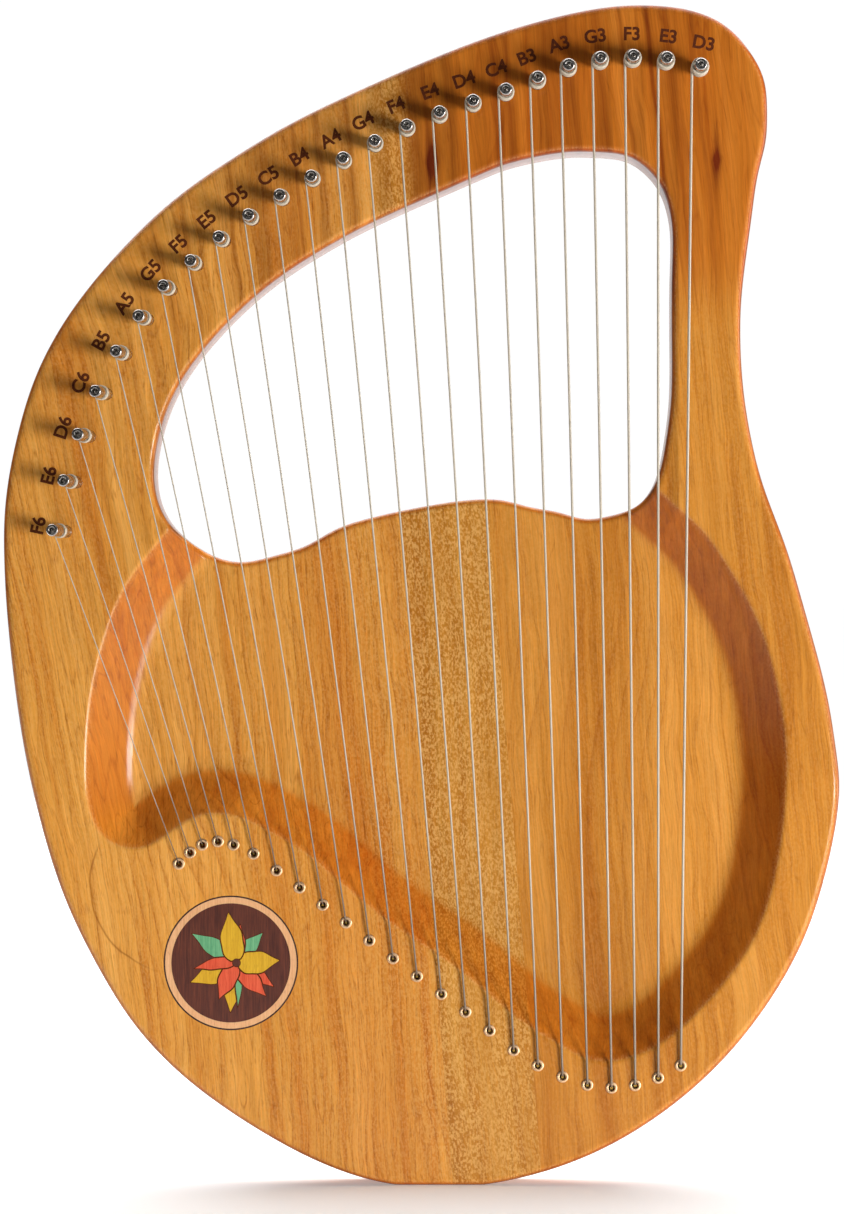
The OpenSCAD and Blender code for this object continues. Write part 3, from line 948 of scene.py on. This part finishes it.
def wood(name, tones, fleck, rings, dashes, seed):
    """Lacquered wood of three tones, pale to dark; fleck, rings and dashes are strengths of its marks."""
    f = Finish(name)
    x, y, z = f.place()
    facing = f.node("SeparateXYZ", Vector=f.node("TexCoord").outputs["Normal"]).outputs
    tilt = f.math("ABSOLUTE", facing[1])

    # u runs across the grain, which leans with the seams, more so in the left arm, and wavers
    lean = f.plus(SEAM_LEAN, f.times(f.smooth(x, -85, -175), 0.14))
    wave = f.noise(f.stretch((0.012, 0.02, 0.007), (seed, 0, 0)), 2, 0.5)
    ripple = f.noise(f.stretch((0.09, 0.09, 0.05), (seed, 0, 0)), 1, 0.5)
    u = f.plus(x, f.times(lean, f.minus(z, 250)))
    u = f.plus(u, f.times(f.minus(wave, 0.5), 14))
    u = f.plus(u, f.times(f.minus(ripple, 0.5), 2.5))

    def grain(across, deep, along, detail, rough, shift=0.0):
        """Noise with so many waves to the millimetre across, into and along the grain."""
        vector = f.node("CombineXYZ", X=f.math("MULTIPLY_ADD", u, across, seed * 7.3 + shift),
                        Y=f.times(y, deep), Z=f.times(z, along))
        return f.noise(vector.outputs[0], detail, rough)

    broad = grain(0.035, 0.03, 0.003, 2, 0.5)
    bands = grain(0.22, 0.16, 0.004, 3, 0.6, 3.1)
    fibre = grain(1.3, 0.3, 0.035, 3, 0.75, 5.7)
    pores = grain(1.15, 0.3, 0.15, 1, 0.5, 9.9)
    mottle = grain(1.35, 0.5, 0.8, 1, 0.5, 2.2)
    patchy = grain(0.05, 0.05, 0.012, 2, 0.5, 8.1)

    tone = f.plus(f.times(broad, 0.5), f.times(bands, 0.5))
    pale, middle, dark = tones
    colour = f.ramp(tone, [(0.38, dark), (0.5, middle), (0.62, pale)])
    colour = f.mix("MULTIPLY", 1.0, colour, f.ramp(fibre, [(0.3, 0.8), (0.7, 1.13)]))
    colour = growth_lines(f, colour, grain, u, fibre, patchy, rings)

    # cut is 1 where the surface turns across the grain; the pores hardly show there
    cut = f.times(f.smooth(tilt, 0.98, 0.84), f.smooth(y, -2.9, -1.9))
    amount = f.times(f.ramp(pores, [(0.58, 0.0), (0.7, 1.0)]), dashes)
    amount = f.times(amount, f.math("MULTIPLY_ADD", cut, -0.8, 1.0))
    colour = f.mix("MULTIPLY", amount, colour, (0.55, 0.38, 0.2))
    colour = flecks(f, colour, x, z, mottle, patchy, fleck)

    # darker and redder towards the head, most of all on its right, and a little darker at the foot
    head = f.math("MULTIPLY_ADD", f.smooth(x, -60, 60), 0.4, 0.2)
    colour = f.mix("MULTIPLY", f.times(f.smooth(z, 330, 480), head), colour, (0.9, 0.76, 0.52))
    colour = f.mix("MULTIPLY", f.smooth(z, 180, 40), colour, (0.91, 0.9, 0.84))
    colour = stripes(f, colour, u, z)
    colour = knots(f, colour, x, z, fibre)
    colour = hairline(f, colour, x, z, ripple)

    # wood cut across the grain is painted darker and redder, partly the deeper colour that end grain
    # takes under the lacquer and partly painted shade on the walls of the dish, with painted light
    # where it faces up. The wall of the opening is left bare
    cut_tone_and_shade = f.mix("MIX", f.smooth(facing[2], 0.1, 0.5), (0.76, 0.5, 0.2), (0.95, 0.68, 0.32))
    colour = f.mix("MULTIPLY", cut, colour, cut_tone_and_shade)
    bare = opening_wall(f, x, z, tilt)
    bare_wood = f.mix("MIX", f.smooth(y, 4, 20), linear("755B55"), linear("958079"))
    colour = f.mix("MIX", f.times(bare, 0.85), colour, bare_wood)

    # a dark line is painted on the turn of the front edge, as painted shade
    turn = f.times(f.smooth(tilt, 0.75, 0.4), f.bell(y, 1.0, 3.2))
    turn = f.times(turn, f.minus(1.0, bare))
    colour = f.mix("MIX", f.times(turn, 0.8), colour, linear("5C4434"))
    # the slope of the rims near the front is paler in patches
    pale_rim_patches = f.times(f.bell(tilt, 0.85, 0.08), f.smooth(y, -0.5, -2.4))
    pale_rim_patches = f.times(pale_rim_patches, f.ramp(mottle, [(0.4, 0.1), (0.65, 0.6)]))
    colour = f.mix("MIX", f.times(pale_rim_patches, 0.5), colour, linear("E2AC70"))

    f.bump(f.plus(fibre, f.times(amount, -0.6)), 0.12, 0.0002)
    f.feed(f.shader.inputs["Roughness"], f.ramp(fibre, [(0.2, 0.46), (0.8, 0.58)]))
    return f.set(Base_Color=colour, Coat_Weight=0.45, Coat_Roughness=0.13, Coat_IOR=1.5,
                 Specular_IOR_Level=0.08)


def metal(name, colour, rough, scratch, metallic=1.0, near_wood_shade=None):
    """Finely scratched metal; the last colour, if given, is painted shade that it darkens to near the
    wood.
    """
    f = Finish(name)
    # painted shade: darker where the metal nears the wood
    if near_wood_shade:
        colour = f.mix("MIX", f.smooth(f.place()[1], -6.5, -4.0), colour, near_wood_shade)
    wear = f.noise(f.stretch((0.8, 0.8, 0.8)), 3, 0.6)
    fine = f.noise(f.stretch((9, 9, 9)), 2, 0.5)
    shade = f.mix("MULTIPLY", 1.0, colour, f.ramp(wear, [(0.3, 0.86), (0.7, 1.0)]))
    f.bump(fine, scratch, 0.00005)
    f.feed(f.shader.inputs["Roughness"], f.ramp(wear, [(0.25, rough * 0.7), (0.75, rough * 1.4)]))
    return f.set(Base_Color=shade, Metallic=metallic)


def veneer(name, light, dark):
    """Straight-grained veneer between two colours."""
    f = Finish(name)
    grain = f.noise(f.stretch((1.4, 1.4, 0.07)), 4, 0.65, 0.4)
    pores = f.noise(f.stretch((4.0, 4.0, 0.35)), 1, 0.4)
    colour = f.mix("MIX", f.ramp(grain, [(0.32, 0.0), (0.7, 0.8)]), dark, light)
    colour = f.mix("MULTIPLY", f.ramp(pores, [(0.6, 0.0), (0.72, 0.5)]), colour, (0.5, 0.4, 0.32))
    f.bump(grain, 0.08, 0.0001)
    f.feed(f.shader.inputs["Roughness"], f.ramp(grain, [(0.2, 0.34), (0.8, 0.46)]))
    return f.set(Base_Color=colour, Coat_Weight=0.25, Coat_Roughness=0.25)


def burnt(name):
    """Charred wood of the burnt-in names, and the dark glue round the flower."""
    f = Finish(name)
    char = f.noise(f.stretch((2.5, 2.5, 2.5)), 3, 0.6)
    colour = f.ramp(char, [(0.3, linear("3A1806")), (0.7, linear("6A3010"))])
    f.bump(char, 0.3, 0.0001)
    f.feed(f.shader.inputs["Roughness"], f.ramp(char, [(0.3, 0.6), (0.7, 0.8)]))
    return f.set(Base_Color=colour, Specular_IOR_Level=0.15)


def dress(node, finish):
    """Gives a CAD node its finish."""
    piece = frame["nodes"][node]
    piece.data.materials.clear()
    piece.data.materials.append(finish)


# ---------------------------------------------------------------- studio

FLOOR_Y = 1.0
FLOOR_GLOW = 0.27       # strength of the sheet's own light behind the harp
FRONT_SHADE = 0.42      # share of the sheet's colour that is left in front of the harp
FRONT_FILL = 0.05       # strength of the surroundings on the camera's side
BACK_FILL = 1.02        # and behind the harp
CAMERA_REACH = 1.8      # from the front face to the camera
FRAME_H = 0.5444        # height that the picture takes in at the front face


def floor_paint(name, colour):
    """Pale translucent sheet, lit from below behind the harp, as on a light table."""
    f = Finish(name)
    cloud = f.noise(f.stretch((0.002, 0.002, 0.002)), 2, 0.5)
    y = f.place((0, FLOOR_Y / MM, 0))[1]
    glow = f.times(f.smooth(y, -220, -60), FLOOR_GLOW)
    colour = f.mix("MIX", f.smooth(y, -600, -150), tuple(FRONT_SHADE * c for c in colour), colour)
    colour = f.mix("MULTIPLY", 1.0, colour, f.ramp(cloud, [(0.3, 0.98), (0.7, 1.0)]))
    return f.set(Base_Color=colour, Roughness=0.9, Emission_Color=(1, 1, 1, 1), Emission_Strength=glow)


def make_studio():
    scene = bpy.context.scene
    bpy.ops.mesh.primitive_plane_add(size=7, location=(0, FLOOR_Y, 0))
    floor = bpy.context.object
    floor.name = "studio_floor"
    floor.data.materials.append(floor_paint("studio_floor", (0.9, 0.9, 0.9)))
    floor.visible_shadow = False    # the key light shines up through the translucent sheet

    world = bpy.data.worlds.new("studio")
    scene.world = world
    world.use_nodes = True
    nodes, links = world.node_tree.nodes, world.node_tree.links
    way = nodes.new("ShaderNodeSeparateXYZ")
    links.new(nodes.new("ShaderNodeTexCoord").outputs["Generated"], way.inputs[0])
    ramp = nodes.new("ShaderNodeMapRange")
    for socket, value in zip(ramp.inputs[1:5], (0.6, 0.95, FRONT_FILL, BACK_FILL)):
        socket.default_value = value
    ramp.interpolation_type = "SMOOTHSTEP"
    links.new(way.outputs[1], ramp.inputs[0])
    links.new(ramp.outputs[0], nodes["Background"].inputs["Strength"])
    nodes["Background"].inputs["Color"].default_value = (1, 1, 1, 1)

    def area(name, place, aim, size, power):
        light = bpy.data.lights.new(name, "AREA")
        light.shape = "RECTANGLE"
        light.size, light.size_y = size
        light.energy = power
        lamp = bpy.data.objects.new(name, light)
        lamp.location = place
        lamp.rotation_euler = (Vector(aim) - Vector(place)).to_track_quat("-Z", "Y").to_euler()
        scene.collection.objects.link(lamp)

    area("key", (1.62, -1.54, -0.15), (0, 0, 0.27), (0.9, 0.7), 55)
    area("floor_wash", (0, 2.1, 2.6), (0, 2.1, 0), (5, 4.6), 270)
    area("rim", (1.9, 0.2, 0.25), (0.15, 0, 0.27), (0.4, 1.2), 14)

    camera = bpy.data.cameras.new("camera")
    view = bpy.data.objects.new("camera", camera)
    scene.collection.objects.link(view)
    scene.camera = view
    aim_x, aim_z = 0.0, 0.2596
    eye_x, eye_z = 0.024, 0.244
    view.location = (eye_x, FRONT_Y * MM - CAMERA_REACH, eye_z)
    view.rotation_euler = (math.pi / 2, 0, 0)
    camera.sensor_width = 36
    camera.lens = camera.sensor_width * CAMERA_REACH / FRAME_H
    camera.shift_x = (aim_x - eye_x) / FRAME_H
    camera.shift_y = (aim_z - eye_z) / FRAME_H
    camera.clip_start, camera.clip_end = 0.01, 50
    scene.view_settings.view_transform = "Standard"


# ---------------------------------------------------------------- the harp

# the three boards: tones, then the strengths of fleck, rings and dashes, and a seed
wood_left = wood("wood_left", [linear(c) for c in ("EBA850", "DE983E", "CE7F2A")], 0.45, 0.75, 0.45, 1)
wood_centre = wood("wood_centre", [linear(c) for c in ("D0903A", "C4822E", "B26E20")], 0.65, 0.25, 0.3, 2)
wood_right = wood("wood_right", [linear(c) for c in ("DC9640", "D08830", "BC7220")], 0.14, 0.5, 0.16, 3)
steel = metal("pin_steel", (0.56, 0.53, 0.5), 0.24, 0.02)
# the strings' colour near the wood, (0.16, 0.1, 0.06), is painted shade
wire = metal("string_wire", (0.57, 0.5, 0.39), 0.5, 0.05, 0.1, (0.16, 0.1, 0.06))
brass = metal("eyelet_brass", linear("ECC79C"), 0.45, 0.03)

make_board((wood_left, wood_centre, wood_centre, wood_right))
make_strings(wire)
make_pins(steel)
make_eyelets(brass)
make_labels(burnt("burnt_mark"))
dress("string_ball_ends", metal("ball_brass", linear("C8A050"), 0.35, 0.05))
dress("inlay_purfling", veneer("dark_line", linear("4A2412"), linear("2A1008")))
dress("inlay_border", veneer("pale_veneer", linear("F0BE8C"), linear("D89C68")))
dress("inlay_disc", veneer("rosewood_veneer", linear("74361F"), linear("3E160C")))
dress("inlay_petals_yellow", veneer("yellow_veneer", linear("E6B82A"), linear("C8960F")))
dress("inlay_petals_red", veneer("red_veneer", linear("EA6A44"), linear("CC4020")))
dress("inlay_leaves_green", veneer("green_veneer", linear("7FBE8A"), linear("4E9466")))
make_glue_lines(("inlay_petals_yellow", "inlay_petals_red", "inlay_leaves_green"), burnt("glue_line"))
make_studio()
